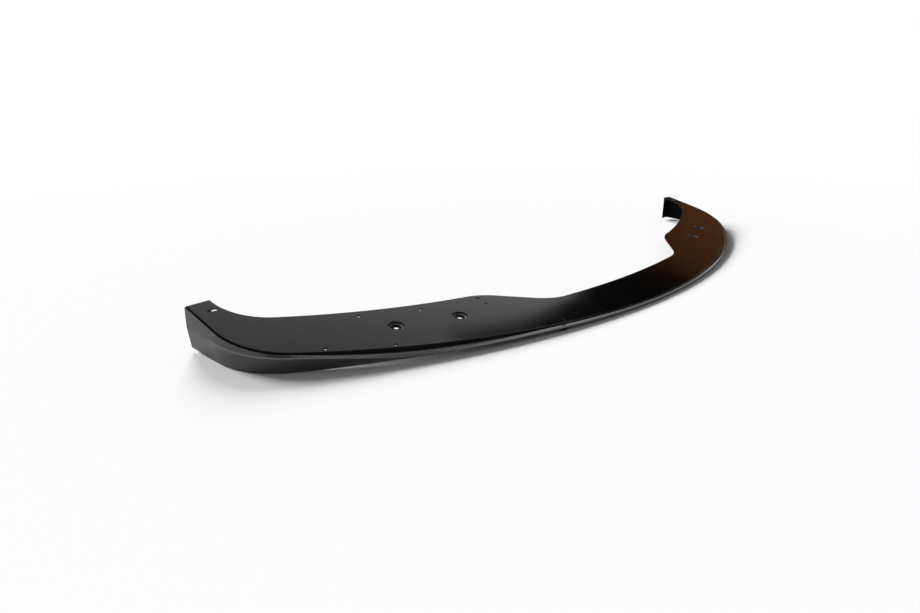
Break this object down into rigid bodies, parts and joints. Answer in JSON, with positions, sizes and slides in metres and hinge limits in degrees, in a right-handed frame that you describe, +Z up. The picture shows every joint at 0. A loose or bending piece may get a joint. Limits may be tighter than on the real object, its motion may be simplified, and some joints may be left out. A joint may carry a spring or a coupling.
{
  "type": "front splitter lip",
  "caption": "Broad curved lip for the underside of a car's front bumper: sloped screw flange, groove, blade edge and side walls.",
  "frame": {"origin": "under the middle of the box, on the ground", "axes": "+X across to the car's other side, +Y from the nose to the rear, +Z up"},
  "size_m": [1.7688, 0.4443, 0.082],
  "materials": {
    "black_laminate": "satin"
  },
  "bodies": {
    "root": {"front_lip": "black_laminate"}
  },
  "joints": []
}
